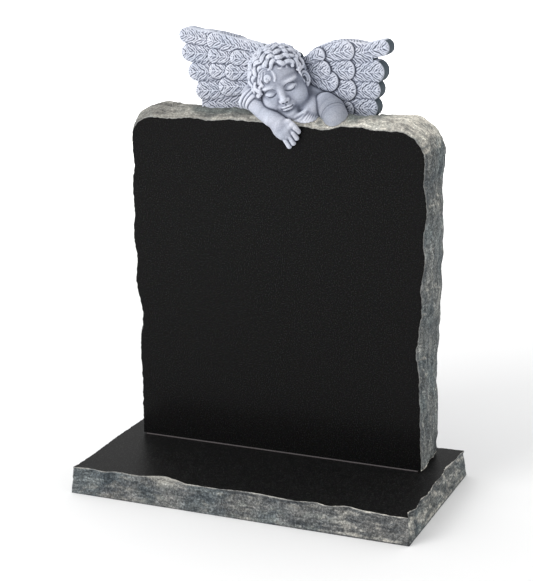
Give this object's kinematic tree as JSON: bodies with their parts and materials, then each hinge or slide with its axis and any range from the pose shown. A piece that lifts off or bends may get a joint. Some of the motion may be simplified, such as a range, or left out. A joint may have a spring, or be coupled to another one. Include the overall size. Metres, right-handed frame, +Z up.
{
  "type": "natural rock headstone",
  "caption": "Upright polished headstone with pitched rock edges on a matching low base, with a carved sleeping winged cherub leaning over its top edge.",
  "frame": {"origin": "middle of the base's underside, on the ground", "axes": "+X to the viewer's right, +Y towards the back, +Z up; the polished face looks along -Y"},
  "size_m": [0.762, 0.402, 0.9676],
  "materials": {
    "dark_granite": "polished faces, pitched rock edges",
    "mortar": "matt",
    "carved_granite": "matt, finely tooled"
  },
  "bodies": {
    "root": {"base": "dark_granite", "bedding_joint": "mortar", "tablet": "dark_granite", "cherub": "carved_granite"}
  },
  "joints": []
}
